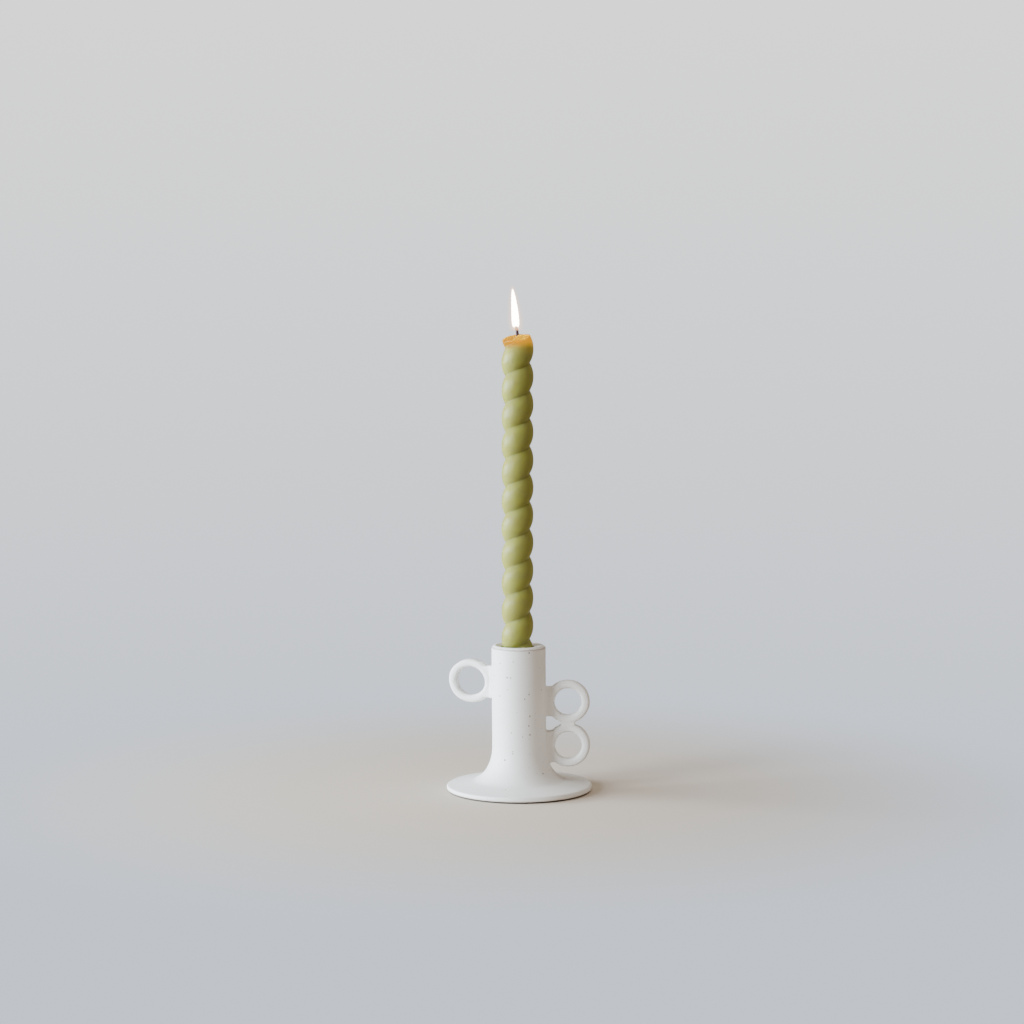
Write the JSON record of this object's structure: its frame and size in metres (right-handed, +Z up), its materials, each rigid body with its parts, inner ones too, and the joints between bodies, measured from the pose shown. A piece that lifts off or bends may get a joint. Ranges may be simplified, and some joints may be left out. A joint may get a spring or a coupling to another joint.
{
  "type": "candle holder",
  "caption": "White stoneware candle holder with a flared foot, finger rings on both sides, and a lit twisted olive taper that lifts out of its socket.",
  "frame": {"origin": "centre of the resting face under the foot, on the foot's axis", "axes": "+Z up along the column and the candle; +X towards the stacked pair of rings; -Y towards the viewer"},
  "size_m": [0.1016, 0.1016, 0.3513],
  "materials": {
    "stoneware": "satin",
    "felt": "matte",
    "wax": "satin",
    "molten_wax": "gloss",
    "charred_wick": "matte",
    "flame": "gloss"
  },
  "bodies": {
    "holder": {"thrown_column_and_foot": "stoneware", "left_ring": "stoneware", "left_ring_lug": "stoneware", "upper_right_ring": "stoneware", "upper_right_ring_lug": "stoneware", "lower_right_ring": "stoneware", "lower_right_ring_lug": "stoneware", "right_ring_bridge": "stoneware", "felt_pad": "felt"},
    "candle": {"twisted_taper": "wax", "melt_pool": "molten_wax", "wick": "charred_wick", "flame": "flame"}
  },
  "joints": [
    {"name": "candle_lift", "type": "slide", "parent": "holder", "child": "candle", "axis": [0, 0, 1], "range_m": [0, 0.04]}
  ]
}
